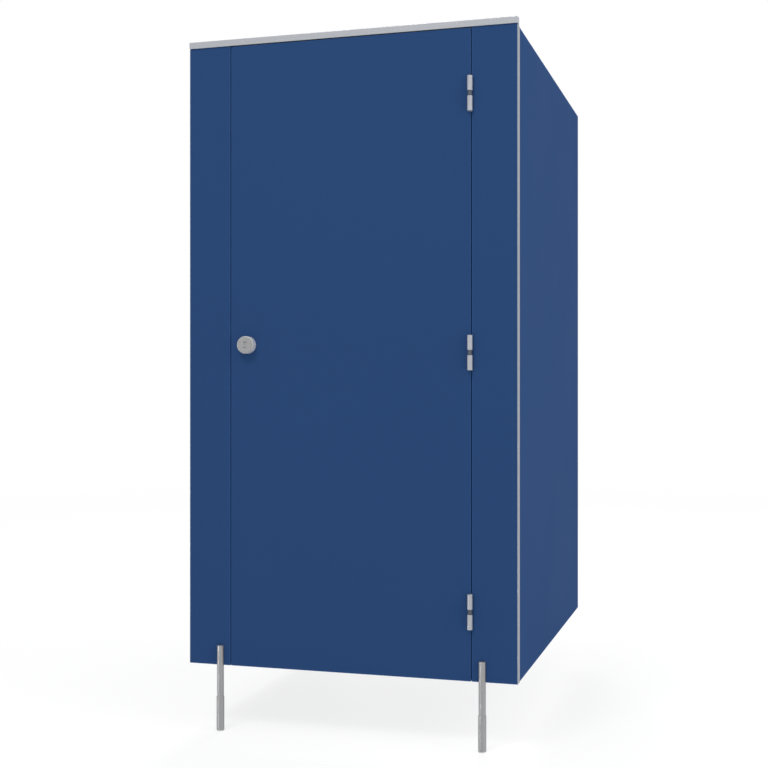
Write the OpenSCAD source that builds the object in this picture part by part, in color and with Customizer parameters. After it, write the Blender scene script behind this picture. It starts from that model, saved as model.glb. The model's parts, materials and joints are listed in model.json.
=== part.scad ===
// Changing cubicle: a panelled front with an outward opening door and two side
// partitions, fixed to a building's wall at the back and carried on two legs in front.
// Millimetres. +X is right as the user faces the door, +Y runs from the front to the
// wall and +Z is up. The origin is on the floor, under the middle of the plan.

/* [Overall] */
// Width over the two corner profiles
overall_w = 968.5; // [900:0.5:1200]
// Height from the floor to the top of the headrail
overall_h = 2000; // [1900:1:2200]
// Depth from the front face of the panels to the wall
front_to_wall = 1234; // [1000:1:1600]
// Gap between the floor and the panels
floor_gap = 190; // [175:1:240]
// Radius of the machined panel edges
edge_r = 1; // [0.5:0.1:2]

/* [Panels] */
// Thickness of every panel
panel_t = 18; // [16:0.5:20]
// Width of the door
door_w = 707.5; // [620:0.5:740]
// Gap between the door and each pilaster
door_gap = 3; // [3:0.1:5]
// Gap between the door and the headrail above it
door_top_gap = 2.4; // [2:0.1:6]
// How far the side partitions stop below the top of the headrail
side_drop = 21; // [20.5:0.5:60]

/* [Headrail] */
// Height of the headrail as seen from the front
rail_h = 18.6; // [17:0.1:28]
// Wall of the headrail
rail_wall = 2.7; // [2:0.1:4]
// Gap between the headrail's lips and the pilasters
rail_clear = 0.3; // [0.1:0.1:0.6]
// How far the pilasters stand up into the headrail
rail_hold = 9; // [8:0.5:9.5]
// Distance of the headrail's screws from the pilaster's edges
rail_screw_in = 30; // [15:1:36]
// Rounding along the headrail's outer edges
rail_r = 1; // [0.5:0.1:1.5]
// Length of the tongue that holds each end cap
cap_tongue = 14; // [8:1:30]

/* [Corner and wall profiles] */
// Wall of the corner profile
profile_wall = 1.2; // [1.2:0.1:3]
// Depth of the channel that holds a side partition
profile_lip = 11; // [9:0.5:20]
// Width of the corner profile's screw flange
profile_flange = 16; // [12:0.5:30]
// Gap between a partition and the channel's lips
channel_clear = 0.3; // [0.1:0.1:0.6]
// Screws along each corner profile
profile_screws = 5; // [3:1:7]
// Distance of the profile's outer screws from its ends
profile_screw_end = 70; // [40:5:120]
// Wall of the wall angle
angle_wall = 2.5; // [2:0.1:5]
// Flange of the wall angle that lies on the partition
angle_side = 32; // [24:1:50]
// Flange of the wall angle that lies on the building's wall
angle_back = 42; // [32:1:60]
// How far the wall angle stops short of the partition's top and bottom
angle_trim = 12; // [4:1:60]
// Rounding inside the wall angle
angle_r = 3; // [1:0.5:5]
// Screws along each wall angle
angle_screws = 5; // [3:1:7]
// Distance of the wall angle's outer screws from its ends
angle_screw_end = 45; // [30:5:100]
// Distance of the wall angle's screws from its front edge
angle_screw_in = 9; // [7:0.5:14]
// Radius of the anchor holes in the wall angle
anchor_r = 3.3; // [2.5:0.1:5]
// Distance of the anchor holes from the partition
anchor_in = 26; // [22:0.5:32]
// Distance of the outer anchor holes from the wall angle's ends
anchor_end = 87.5; // [30:0.5:200]
// Height between the inner anchor holes
anchor_inner = 590; // [300:10:900]

/* [Legs] */
// Distance of each leg's centre from the door opening
leg_inset = 29.75; // [24:0.25:60]
// Radius of the leg's rod
leg_r = 10; // [9:0.5:14]
// How far the rod's centre stands in front of the panel's face
leg_out = 2; // [0:0.5:5]
// Height of the leg's cheek over the panel's face
cheek_h = 57; // [40:1:90]
// Height of the rod's lower end above the floor
rod_bottom = 36; // [32:1:60]
// Wall of the foot sleeve
sleeve_wall = 1.25; // [1:0.05:3]
// Height of the foot sleeve above the floor
sleeve_top = 100; // [85:1:120]
// Thickness of the foot sleeve's base
sleeve_base = 7; // [5:0.5:12]
// Thickness of the rubber foot pad
pad_t = 3; // [2:0.5:5]
// How far the foot pad's edge is set in from the sleeve
pad_inset = 0.4; // [0.2:0.1:1.5]
// Width and depth of the grip grooves under the foot pad
pad_groove = 1; // [0.5:0.1:1.4]
// Radius of the levelling stud
stud_r = 5; // [4:0.5:6]
// Height of the levelling stud's top above the floor
stud_top = 84; // [75:1:100]
// Depth of the rod's bore for the levelling stud
stud_bore = 80; // [74:1:120]
// Radius of the leg bolts
leg_bolt_r = 3; // [2.5:0.5:4]
// Height between the two bolts of a leg
leg_bolt_pitch = 30; // [20:1:36]
// Steel left over the end of each leg bolt
leg_bolt_cover = 3; // [2:0.5:5]

/* [Hinges] */
// Height of the lowest hinge's centre above the door's lower edge
hinge_from_bottom = 191; // [120:1:260]
// Distance of the highest hinge's centre below the top of the headrail
hinge_from_top = 202; // [130:1:260]
// Radius of the hinge's barrel
barrel_r = 7.25; // [6.5:0.05:7.6]
// Height of each hinge
hinge_h = 96.5; // [80:0.5:120]
// Height of the bearing ring between the knuckles
ring_h = 14; // [8:0.5:20]
// Radius of the bearing ring
ring_r = 5.75; // [5:0.05:7]
// Radius of the hinge pin
pin_r = 3.5; // [3:0.1:4]
// Solid end of each knuckle beyond the pin
knuckle_end = 3; // [2:0.5:6]
// Distance of the hinge's axis in front of the panels
axis_out = 8; // [8:0.1:12]
// How far the hinge's axis is set from the middle of the gap, towards the door
axis_shift = 2; // [1.5:0.1:2.4]
// Thickness of the hinge's web in the gap
web_t = 2; // [1.5:0.1:2.3]
// Thickness of the hinge's leaf
leaf_t = 2.5; // [2:0.1:4]
// Width of the hinge's leaf
leaf_w = 36; // [28:1:50]
// Height between the outer screws of a leaf
leaf_screw_span = 72; // [50:1:76]
// Rounding of the leaf's corners
leaf_r = 5; // [2:0.5:9]
// Share of the leaf's width at which its outer screws stand
leaf_screw_outer = 0.45; // [0.4:0.01:0.55]
// Share of the leaf's width at which its middle screw stands
leaf_screw_middle = 0.7; // [0.6:0.01:0.75]

/* [Lock] */
// Height of the lock's axis above the floor
lock_z = 1116; // [900:1:1300]
// Distance of the lock's axis from the door's edge
backset = 52.5; // [50:0.5:70]
// Radius of the outer knob
knob_r = 25; // [25:0.5:32]
// How far the knob stands out from the door
knob_out = 24.5; // [20:0.5:40]
// Rounding of the knob's front edge
knob_edge = 2.5; // [1:0.5:4]
// Wall of the knob's front
knob_face = 3.5; // [3:0.5:6]
// Wall of the knob's rim
knob_rim = 3; // [2.5:0.5:5]
// Thickness of the knob's face over the indicator
window_t = 1.5; // [1.2:0.1:2]
// Radius at the middle of the indicator windows
window_mid = 8; // [7.5:0.1:10]
// Width of an indicator window
window_w = 3.2; // [2:0.1:4]
// Half the angle that an indicator window spans
window_half = 38; // [20:1:42]
// Radius of the release disc in the knob's face
release_r = 5; // [4.5:0.1:5.4]
// Width of the coin slot in the release disc
slot_w = 1.4; // [1:0.1:2]
// Depth of the coin slot
slot_d = 1.2; // [0.6:0.1:2]
// Radius of the lock's spindle
spindle_r = 4; // [3.5:0.1:4.5]
// Distance of the spindle's flat from its axis
spindle_flat = 2.8; // [2.4:0.1:3.4]
// Depth of the lock's case
case_d = 20; // [18:0.5:26]
// Half the height of the lock's case
case_half_h = 27; // [26.5:0.5:32]
// Wall of the lock's case
case_wall = 2.5; // [2:0.1:3]
// Rounding of the lock case's corners
case_r = 4; // [2:0.5:6]
// Width and height of the step round the lock's cover
cover_step = 0.8; // [0.4:0.1:1.2]
// Gap between the door's edge and the lock's case
case_edge_gap = 10; // [9:0.5:14]
// Distance of the through screws from the lock's axis
through_r = 21.3; // [21.2:0.1:21.5]
// Module of the pinion and the rack
gear_module = 1.5; // [1.4:0.05:1.6]
// Teeth of the pinion
pinion_teeth = 14; // [12:1:15]
// Pressure angle of the teeth
pressure_angle = 25; // [24:1:27]
// Gap between meshing teeth, along the pitch line
backlash = 0.3; // [0.2:0.05:0.5]
// Thickness of the bolt
bolt_t = 6; // [5:0.5:7]
// Half the height of the bolt's plate
bolt_half_h = 17; // [16.5:0.1:17]
// Half the height of the bolt's nose
nose_half_h = 7; // [5:0.5:8]
// Distance of the bolt from the door's inner face
bolt_lift = 6; // [5:0.5:7]
// Sliding gap round the bolt
bolt_clear = 0.3; // [0.2:0.05:0.4]
// Thickness of the ribs that guide the bolt
guide_t = 1.6; // [1.2:0.1:2.2]
// Width of the ledges that the bolt slides on
ledge_w = 3; // [2:0.5:4]
// Radius of the thumb turn
turn_r = 15; // [13:0.5:18]
// Height of the thumb turn's wing
wing_h = 15; // [12:0.5:20]
// Thickness of the thumb turn's wing
wing_t = 8; // [7:0.5:10]
// Thickness of the washer under the thumb turn
washer_t = 0.8; // [0.6:0.1:1.2]

/* [Keep and coat hook] */
// Thickness of the keep's plate
keep_t = 4; // [3:0.1:4.5]
// Thickness of the keep's stops
stop_t = 3; // [2.5:0.1:3.5]
// Thickness of the rubber buffers
buffer_t = 2.7; // [2:0.1:3]
// Wall of the keep's pocket
keep_wall = 2.5; // [2:0.1:4]
// Half the height of the keep
keep_half_h = 30; // [28:0.5:36]
// Rounding of the keep's corners
keep_r = 3; // [2:0.5:5]
// Share of the keep's half height at which its screws stand
keep_screw_share = 0.72; // [0.66:0.01:0.75]
// Length of the keep's plate on the pilaster
keep_l = 40; // [34:1:50]
// How far the keep's stop reaches behind the door
stop_reach = 7; // [5:0.5:8]
// Gap round the bolt's nose in the keep
keep_clear = 2; // [1.5:0.1:2.5]
// Depth of the keep's pocket along the bolt
keep_pocket = 31; // [29:0.5:36]
// Gap between the closed door and its buffers
buffer_gap = 0.3; // [0.2:0.1:0.6]
// Height of the coat hook's base above the floor
hook_z = 1650; // [1400:10:1700]
// Radius of the coat hook's arms
hook_r = 4; // [3.5:0.1:5]
// Length of the coat hook's upper arm
hook_arm = 50; // [40:1:70]
// Reach of the coat hook's lower arm from the door
hook_low = 31; // [26:1:38]
// Bend of the coat hook's lower arm
hook_bend = 9; // [7:0.5:12]
// Height of the upper arm's root above the middle of the base
hook_rise = 7; // [5:0.5:9]
// Depth of the lower arm's root below the middle of the base
hook_drop = 10; // [8:0.5:11]
// Slope of the upper arm, from upright
hook_slope = 60; // [45:1:75]
// Radius of the coat hook's base
hook_rose_r = 20; // [19:0.5:24]
// Thickness of the coat hook's base
hook_base_t = 4; // [3:0.5:6]
// How much wider the arms are at their roots than along their length
hook_root = 2.5; // [1:0.5:3]
// How much wider the ball on the upper arm is than the arm
hook_ball = 2; // [1:0.5:3]
// Distance of the coat hook's screws from its middle
hook_screw_x = 11; // [9.5:0.5:12]

/* [Screws] */
// Length of the board screws
screw_l = 14; // [11:0.5:15]
// Radius of a board screw's shank
shank_r = 2; // [1.8:0.1:2.1]
// Radius of a countersunk head
csk_r = 4; // [3.6:0.1:4.4]
// Radius of a pan head
pan_r = 3.6; // [3.2:0.1:4]
// Height of a pan head
pan_h = 2.2; // [1.8:0.1:2.6]
// Gap round a screw in its hole
screw_fit = 0.05; // [0.03:0.01:0.1]
// Radial gap of a shaft that turns or slides in its bore
running_fit = 0.05; // [0.03:0.01:0.1]

/* [Hidden] */
$fn = 48;
cut = 1;
half_w = overall_w / 2;
front_y = -(front_to_wall - knob_out) / 2;
back_y = front_y + panel_t;
wall_y = front_y + front_to_wall;

rail_bottom = overall_h - rail_h;
rail_front = front_y - rail_clear - rail_wall;
rail_back = back_y + rail_clear + rail_wall;
pilaster_top = rail_bottom + rail_hold;
pilaster_end = half_w - profile_wall;
opening_x = door_w / 2 + door_gap;
door_x = door_w / 2;
door_top = rail_bottom - door_top_gap;
rail_screw_z = rail_bottom + rail_hold / 2;
rail_screw_x = [opening_x + rail_screw_in, pilaster_end - rail_screw_in];

side_top = overall_h - side_drop;
side_out = pilaster_end - channel_clear;
side_in = side_out - panel_t;
channel_in = side_in - channel_clear;
lip_in = channel_in - profile_wall;
channel_y = back_y + profile_wall;
profile_top = min(side_top, rail_bottom - rail_clear);
profile_screw_z = spread(floor_gap + profile_screw_end, profile_top - profile_screw_end, profile_screws);
flange_screw_x = lip_in - profile_flange / 2;
lip_screw_y = channel_y + profile_lip / 2;
side_front = channel_y + channel_clear;

angle_z = [floor_gap + angle_trim, side_top - angle_trim];
angle_mid = (angle_z[0] + angle_z[1]) / 2;
angle_screw_z = spread(angle_z[0] + angle_screw_end, angle_z[1] - angle_screw_end, angle_screws);
angle_screw_y = wall_y - angle_side + angle_screw_in;
anchor_x = side_in - anchor_in;
anchor_z = [
  angle_z[0] + anchor_end, angle_mid - anchor_inner / 2,
  angle_mid + anchor_inner / 2, angle_z[1] - anchor_end
];

leg_x = opening_x + leg_inset;
leg_y = front_y - leg_out;
cheek_top = floor_gap + cheek_h;
leg_bolt_z = [for (s = [-1, 1]) floor_gap + cheek_h / 2 + s * leg_bolt_pitch / 2];
leg_bolt_head_r = 2 * leg_bolt_r;
leg_bolt_hold = leg_r + leg_out - leg_bolt_cover;
pad_groove_r = [4.5, 7.5];
rod_chamfer = 1;
sleeve_chamfer = 0.5;
sleeve_r = leg_r + running_fit + sleeve_wall;
sleeve_floor = pad_t + sleeve_base;

axis_x = door_x + door_gap / 2 - axis_shift;
axis_y = front_y - axis_out;
hinge_low = floor_gap + hinge_from_bottom;
hinge_high = overall_h - hinge_from_top;
hinge_z = [hinge_low, (hinge_low + hinge_high) / 2, hinge_high];
leaf_screws = [
  [leaf_w * leaf_screw_outer, -leaf_screw_span / 2],
  [leaf_w * leaf_screw_middle, 0],
  [leaf_w * leaf_screw_outer, leaf_screw_span / 2]
];
pin_chamfer = 0.8;
ring_gap = 0.3;
web_root = pin_r + 1;

lock_x = -(door_x - backset);
pitch_r = gear_module * pinion_teeth / 2;
addendum = 0.8 * gear_module;
dedendum = 1.1 * gear_module;
throw = pitch_r * PI / 2;
case_left = -(backset - case_edge_gap);
case_in_left = case_left + case_wall;
end_play = 0.7;
tip_play = 0.8;
bolt_left = case_in_left + throw + end_play;
nose_tip = case_left - 1;
window_left = -(pitch_r + addendum + tip_play);
window_right = throw + pitch_r + addendum + tip_play;
window_top = pitch_r + addendum + tip_play;
rack_root = -(pitch_r + dedendum);
bolt_right = window_right + 4;
case_right = bolt_right + end_play + case_wall;
hub_r = pitch_r - dedendum - 2;
boss_r = 3.5;
boss_play = 0.6;
machine_r = 2;
through_hold = knob_out - knob_face - 3;
knob_step = 0.6;
knob_step_h = 2.2;
disc_gap = 0.3;
disc_t = 1.5;
disc_r = window_mid + window_w + 1.4;
disc_y = -(panel_t + knob_out - window_t - disc_gap);
flag_t = 0.6;
flag_lap = 0.6;
flag_lap_angle = 4;
slot_half = release_r - 1;
case_base_t = 2;
cover_t = 2;
cover_y = case_d - cover_t;
hub_gap = 0.3;
turn_base_t = 4;
turn_edge = 3;
turn_gap = 0.3;
turn_y = case_d + washer_t + turn_gap;
washer_r = turn_r - 2;
turn_end = turn_y + turn_base_t + wing_h;
spindle_hold = 6;
spindle_end = turn_y + turn_base_t + spindle_hold;
turn_screw_r = 1.5;
turn_screw_bore = 8;

keep_edge = -(backset + door_gap);
keep_right = keep_edge - 1.5;
keep_stop = -(backset - stop_reach);
keep_nose_h = nose_half_h + keep_clear;
pocket_left = keep_stop - keep_pocket;
pocket_far = bolt_lift + bolt_t + keep_clear;
stop_low = buffer_gap + buffer_t;
keep_lap = 12;
keep_screw_in = 7;
keep_screw_past = 1;
keep_screw_x = [keep_edge - keep_l + keep_screw_in, pocket_left + keep_screw_past];
buffer_inset = 1;
buffer_inner = keep_nose_h + 3;
buffer_outer = keep_half_h - 2;
hook_x = 0;

blue = [0.17, 0.28, 0.45];
silver = [0.70, 0.71, 0.73];
steel = [0.62, 0.63, 0.65];
slate = [0.34, 0.36, 0.39];
black = [0.10, 0.10, 0.11];
red = [0.70, 0.10, 0.10];

// n values spread evenly from a to b
function spread(a, b, n) = [for (i = [0 : n - 1]) a + (b - a) * i / (n - 1)];

// A point at radius r and angle a
function polar(r, a) = [r * cos(a), r * sin(a)];

// Involute function of an angle, in degrees
function inv(a) = tan(a) * 180 / PI - a;

module slab(low, high) {
  translate(low) cube(high - low);
}

// A rectangle from low to high with rounded corners
module round_rect(low, high, r) {
  translate(low + [r, 0]) square(high - low - [2 * r, 0]);
  translate(low + [0, r]) square(high - low - [0, 2 * r]);
  for (x = [low[0] + r, high[0] - r], y = [low[1] + r, high[1] - r]) translate([x, y]) circle(r);
}

// A right-hand piece as it is for side 1 and mirrored for side -1
module on_side(side) {
  if (side < 0) mirror([1, 0, 0]) children();
  else children();
}

// Turns local +Z to world +Y, so that a screw is driven from the inside to the front
module facing_back(x, y, z) {
  translate([x, y, z]) rotate([-90, 0, 0]) children();
}

// Turns local +Z to world -Y, on the door's outer face
module facing_front(x, y, z) {
  translate([x, y, z]) rotate([90, 0, 0]) children();
}

// Turns local +Z to world -X, so that a screw is driven into a right-hand partition
module facing_in(x, y, z) {
  translate([x, y, z]) rotate([0, -90, 0]) children();
}

// A flat shape drawn in X and Z, thick from y0 to y1
module upright(y0, y1) {
  translate([0, y1, 0]) rotate([90, 0, 0]) linear_extrude(y1 - y0) children();
}

// A screw's shank from z = 0 down, with a point of the given length
module shank(r, length, point, end_r) {
  translate([0, 0, -length + point]) cylinder(h = length - point, r = r);
  translate([0, 0, -length]) cylinder(h = point, r1 = end_r, r2 = r);
}

// A countersunk screw with its head's face at z = 0, pointing down
module csk_screw(head_r = csk_r, r = shank_r, length = screw_l, point = 3, end_r = 0.3) {
  head_h = head_r - r;
  difference() {
    union() {
      translate([0, 0, -head_h]) cylinder(h = head_h, r1 = r, r2 = head_r);
      shank(r, length, point, end_r);
    }
    translate([0, 0, -0.55 * head_h]) cylinder(h = head_h, r = 0.45 * head_r, $fn = 6);
  }
}

module csk_hole(head_r = csk_r, r = shank_r, length = screw_l, sunk = 0) {
  head_h = head_r - r;
  translate([0, 0, -head_h]) cylinder(h = head_h, r1 = r + screw_fit, r2 = head_r + screw_fit);
  translate([0, 0, -length - screw_fit]) cylinder(h = length, r = r + screw_fit);
  translate([0, 0, -0.001]) cylinder(h = sunk + cut, r = head_r + screw_fit);
}

// A pan head screw with the underside of its head at z = 0, pointing down
module pan_screw(head_r = pan_r, r = shank_r, length = screw_l, point = 3, end_r = 0.3) {
  difference() {
    union() {
      cylinder(h = 0.55 * pan_h, r = head_r);
      translate([0, 0, 0.55 * pan_h]) cylinder(h = 0.45 * pan_h, r1 = head_r, r2 = 0.68 * head_r);
      shank(r, length, point, end_r);
    }
    translate([0, 0, 0.4 * pan_h]) cylinder(h = pan_h, r = 0.45 * head_r, $fn = 6);
  }
}

module pan_hole(r = shank_r, length = screw_l) {
  translate([0, 0, -length - screw_fit]) cylinder(h = length + screw_fit + cut, r = r + screw_fit);
}

// A panel that stands across the cubicle, with machined edges
module cross_panel(x0, x1, z0, z1) {
  translate([0, 0, z0]) linear_extrude(z1 - z0) round_rect([x0, front_y], [x1, back_y], edge_r);
}

// Places of the screws, shared by the screws and by the holes that they go into
module at_profile_flange() {
  for (z = profile_screw_z) facing_back(flange_screw_x, channel_y, z) children();
}

module at_profile_lip() {
  for (z = profile_screw_z) facing_in(lip_in, lip_screw_y, z) children();
}

module at_angle_screws() {
  for (z = angle_screw_z) facing_in(side_in - angle_wall, angle_screw_y, z) children();
}

module at_rail_screws() {
  for (x = rail_screw_x) facing_back(x, rail_back, rail_screw_z) children();
}

module at_leg_bolts() {
  for (z = leg_bolt_z) facing_back(leg_x, back_y, z) children();
}

module at_frame_leaf_screws() {
  for (h = hinge_z, p = leaf_screws) facing_back(opening_x + p[0], back_y + leaf_t, h + p[1]) children();
}

module at_door_leaf_screws() {
  for (h = hinge_z, p = leaf_screws) facing_back(door_x - p[0], back_y + leaf_t, h + p[1]) children();
}

module at_keep_screws() {
  for (x = keep_screw_x, s = [-1, 1])
    facing_back(lock_x + x, back_y + keep_t, lock_z + s * keep_screw_share * keep_half_h) children();
}

module at_hook_screws() {
  for (s = [-1, 1]) facing_back(hook_x + s * hook_screw_x, back_y + hook_base_t, hook_z) children();
}

module at_lock() {
  translate([lock_x, back_y, lock_z]) children();
}

module at_through_screws() {
  for (s = [-1, 1]) translate([0, 0, s * through_r]) rotate([-90, 0, 0]) children();
}

// Pilasters

module pilaster_body() {
  difference() {
    cross_panel(opening_x, pilaster_end, floor_gap, pilaster_top);
    at_profile_flange() pan_hole();
    at_rail_screws() pan_hole();
    at_leg_bolts() csk_hole(leg_bolt_head_r, leg_bolt_r, panel_t + leg_bolt_hold);
  }
}

module pilaster_right() {
  color(blue) difference() {
    pilaster_body();
    at_frame_leaf_screws() csk_hole();
  }
}

module pilaster_left() {
  color(blue) difference() {
    on_side(-1) pilaster_body();
    at_keep_screws() csk_hole();
  }
}

// Side partitions

module side_partition(side) {
  color(blue) on_side(side) difference() {
    translate([0, 0, floor_gap]) linear_extrude(side_top - floor_gap)
      round_rect([side_in, side_front], [side_out, wall_y], edge_r);
    at_profile_lip() pan_hole();
    at_angle_screws() pan_hole();
  }
}

// Headrail: a channel turned upside down over the tops of the pilasters

module headrail() {
  color(silver) difference() {
    translate([-pilaster_end, 0, 0]) rotate([90, 0, 90]) linear_extrude(2 * pilaster_end) difference() {
      union() {
        round_rect([rail_front, rail_bottom], [rail_back, overall_h], rail_r);
        translate([rail_front, rail_bottom]) square([rail_back - rail_front, rail_h / 2]);
      }
      translate([front_y - rail_clear, rail_bottom - cut])
        square([panel_t + 2 * rail_clear, rail_h - rail_wall + cut]);
    }
    for (side = [-1, 1]) on_side(side) at_rail_screws() pan_hole();
  }
}

module headrail_cap(side) {
  tongue_top = overall_h - rail_wall;
  color(silver) on_side(side) {
    translate([pilaster_end, 0, 0]) rotate([90, 0, 90]) linear_extrude(profile_wall) {
      round_rect([rail_front, rail_bottom], [rail_back, overall_h], rail_r);
      translate([rail_front, rail_bottom]) square([rail_back - rail_front, rail_h / 2]);
    }
    difference() {
      slab([pilaster_end - cap_tongue, front_y, pilaster_top + rail_clear],
           [pilaster_end, back_y, tongue_top]);
      slab([pilaster_end - cap_tongue - cut, front_y + 3, pilaster_top],
           [pilaster_end - 3, back_y - 3, tongue_top + cut]);
    }
  }
}

module headrail_screws() {
  color(steel) for (side = [-1, 1]) on_side(side) at_rail_screws() pan_screw();
}

// Corner profiles: each covers the pilaster's end and holds the partition in a channel

module corner_profile(side) {
  outer_depth = panel_t + profile_wall + profile_lip;
  color(silver) on_side(side) difference() {
    translate([0, 0, floor_gap]) linear_extrude(profile_top - floor_gap) {
      round_rect([pilaster_end, front_y], [half_w, front_y + outer_depth], profile_wall / 3);
      translate([lip_in - profile_flange, back_y])
        square([pilaster_end - lip_in + profile_flange + profile_wall / 2, profile_wall]);
      round_rect([lip_in, back_y], [channel_in, channel_y + profile_lip], profile_wall / 3);
    }
    at_profile_flange() pan_hole();
    at_profile_lip() pan_hole();
  }
}

module corner_profile_screws() {
  color(steel) for (side = [-1, 1]) on_side(side) {
    at_profile_flange() pan_screw();
    at_profile_lip() pan_screw();
  }
}

// Wall angles

module wall_angle(side) {
  color(silver) on_side(side) difference() {
    translate([0, 0, angle_z[0]]) linear_extrude(angle_z[1] - angle_z[0]) {
      round_rect([side_in - angle_wall, wall_y - angle_side], [side_in, wall_y], angle_wall / 4);
      round_rect([side_in - angle_back, wall_y - angle_wall], [side_in, wall_y], angle_wall / 4);
      translate([side_in - angle_wall - angle_r, wall_y - angle_wall - angle_r]) difference() {
        square(angle_r);
        circle(angle_r);
      }
    }
    for (z = anchor_z)
      facing_back(anchor_x, wall_y - angle_wall - cut, z) cylinder(h = angle_wall + 2 * cut, r = anchor_r);
    at_angle_screws() pan_hole();
  }
}

module wall_angle_screws() {
  color(steel) for (side = [-1, 1]) on_side(side) at_angle_screws() pan_screw();
}

// Legs: a round rod whose upper end is cut to a half-round cheek on the panel's face

module leg(side) {
  color(steel) on_side(side) difference() {
    translate([leg_x, leg_y, 0]) {
      translate([0, 0, rod_bottom]) cylinder(h = cheek_top - rod_bottom - rod_chamfer, r = leg_r);
      translate([0, 0, cheek_top - rod_chamfer])
        cylinder(h = rod_chamfer, r1 = leg_r, r2 = leg_r - rod_chamfer);
    }
    slab([leg_x - 2 * leg_r, front_y, floor_gap], [leg_x + 2 * leg_r, back_y, cheek_top + cut]);
    translate([leg_x, leg_y, rod_bottom - cut])
      cylinder(h = stud_bore + cut, r = stud_r + running_fit);
    at_leg_bolts() translate([0, 0, -panel_t - leg_bolt_hold - screw_fit])
      cylinder(h = leg_bolt_hold + screw_fit + cut, r = leg_bolt_r + screw_fit);
  }
}

module leg_bolts() {
  color(steel) for (side = [-1, 1]) on_side(side)
    at_leg_bolts()
      csk_screw(leg_bolt_head_r, leg_bolt_r, panel_t + leg_bolt_hold, 0.8, leg_bolt_r - 0.8);
}

module foot_sleeve(side) {
  color(steel) on_side(side) translate([leg_x, leg_y, 0]) rotate_extrude() polygon([
    [stud_r + screw_fit, pad_t],
    [sleeve_r - sleeve_chamfer, pad_t],
    [sleeve_r, pad_t + sleeve_chamfer],
    [sleeve_r, sleeve_top - sleeve_chamfer],
    [sleeve_r - sleeve_chamfer, sleeve_top],
    [leg_r + running_fit, sleeve_top],
    [leg_r + running_fit, sleeve_floor],
    [stud_r + screw_fit, sleeve_floor]
  ]);
}

module foot_stud(side) {
  color(steel) on_side(side) translate([leg_x, leg_y, 0]) {
    translate([0, 0, pad_t]) cylinder(h = stud_top - pad_t - rod_chamfer, r = stud_r);
    translate([0, 0, stud_top - rod_chamfer])
      cylinder(h = rod_chamfer, r1 = stud_r, r2 = stud_r - rod_chamfer);
  }
}

module foot_pad(side) {
  pad_r = sleeve_r - pad_inset;
  color(black) on_side(side) translate([leg_x, leg_y, 0]) difference() {
    union() {
      cylinder(h = sleeve_chamfer, r1 = pad_r - sleeve_chamfer, r2 = pad_r);
      translate([0, 0, sleeve_chamfer]) cylinder(h = pad_t - sleeve_chamfer, r = pad_r);
    }
    for (r = pad_groove_r) rotate_extrude() translate([r, -cut]) square([pad_groove, pad_groove + cut]);
  }
}

// Hinges

module knuckle(h, z0, z1) {
  edge = 0.6;
  translate([axis_x, axis_y, h]) rotate_extrude() polygon([
    [0, z0], [barrel_r - edge, z0], [barrel_r, z0 + edge],
    [barrel_r, z1 - edge], [barrel_r - edge, z1], [0, z1]
  ]);
}

module hinge_frame_leaf(h) {
  color(silver) difference() {
    union() {
      knuckle(h, -hinge_h / 2, -ring_h / 2);
      slab([opening_x - web_t, axis_y + web_root, h - hinge_h / 2],
           [opening_x, back_y + leaf_t, h - ring_h / 2]);
      translate([0, 0, h]) upright(back_y, back_y + leaf_t) {
        round_rect([opening_x, -hinge_h / 2], [opening_x + leaf_w, hinge_h / 2], leaf_r);
        translate([opening_x, -hinge_h / 2]) square([leaf_w / 2, hinge_h]);
        translate([opening_x - web_t, -hinge_h / 2]) square([web_t + 1, (hinge_h - ring_h) / 2]);
      }
    }
    translate([axis_x, axis_y, h - hinge_h / 2 + knuckle_end])
      cylinder(h = hinge_h, r = pin_r + screw_fit);
    at_frame_leaf_screws() csk_hole();
  }
}

module hinge_door_leaf(h) {
  color(silver) difference() {
    union() {
      knuckle(h, ring_h / 2, hinge_h / 2);
      slab([door_x, axis_y + web_root, h + ring_h / 2],
           [door_x + web_t, back_y + leaf_t, h + hinge_h / 2]);
      translate([0, 0, h]) upright(back_y, back_y + leaf_t) {
        round_rect([door_x - leaf_w, -hinge_h / 2], [door_x, hinge_h / 2], leaf_r);
        translate([door_x - leaf_w / 2, -hinge_h / 2]) square([leaf_w / 2, hinge_h]);
        translate([door_x - 1, ring_h / 2]) square([web_t + 1, (hinge_h - ring_h) / 2]);
      }
    }
    translate([axis_x, axis_y, h - hinge_h / 2])
      cylinder(h = hinge_h - knuckle_end, r = pin_r + running_fit);
    at_door_leaf_screws() csk_hole();
  }
}

module hinge_pin(h) {
  pin_h = hinge_h - 2 * knuckle_end - 0.5;
  color(steel) translate([axis_x, axis_y, h - hinge_h / 2 + knuckle_end]) {
    cylinder(h = pin_h - pin_chamfer, r = pin_r);
    translate([0, 0, pin_h - pin_chamfer])
      cylinder(h = pin_chamfer, r1 = pin_r, r2 = pin_r - pin_chamfer);
  }
}

module hinge_ring(h) {
  top = ring_h - ring_gap;
  seam = 1.2;
  step = 0.5;
  color(slate) translate([axis_x, axis_y, h - ring_h / 2]) rotate_extrude() polygon([
    [pin_r + screw_fit, 0], [ring_r - step, 0], [ring_r - step, seam], [ring_r, seam + step],
    [ring_r, top - seam - step], [ring_r - step, top - seam], [ring_r - step, top],
    [pin_r + screw_fit, top]
  ]);
}

module hinge_frame_screws() {
  color(steel) at_frame_leaf_screws() csk_screw();
}

module hinge_door_screws() {
  color(steel) at_door_leaf_screws() csk_screw();
}

// Door

module door_panel() {
  color(blue) difference() {
    cross_panel(-door_x, door_x, floor_gap, door_top);
    at_door_leaf_screws() csk_hole();
    at_hook_screws() csk_hole();
    at_lock() {
      rotate([90, 0, 0]) translate([0, 0, -cut]) cylinder(h = panel_t + 2 * cut, r = spindle_r + 1);
      at_through_screws() translate([0, 0, -panel_t - cut])
        cylinder(h = panel_t + 2 * cut, r = machine_r + screw_fit);
    }
  }
}

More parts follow.
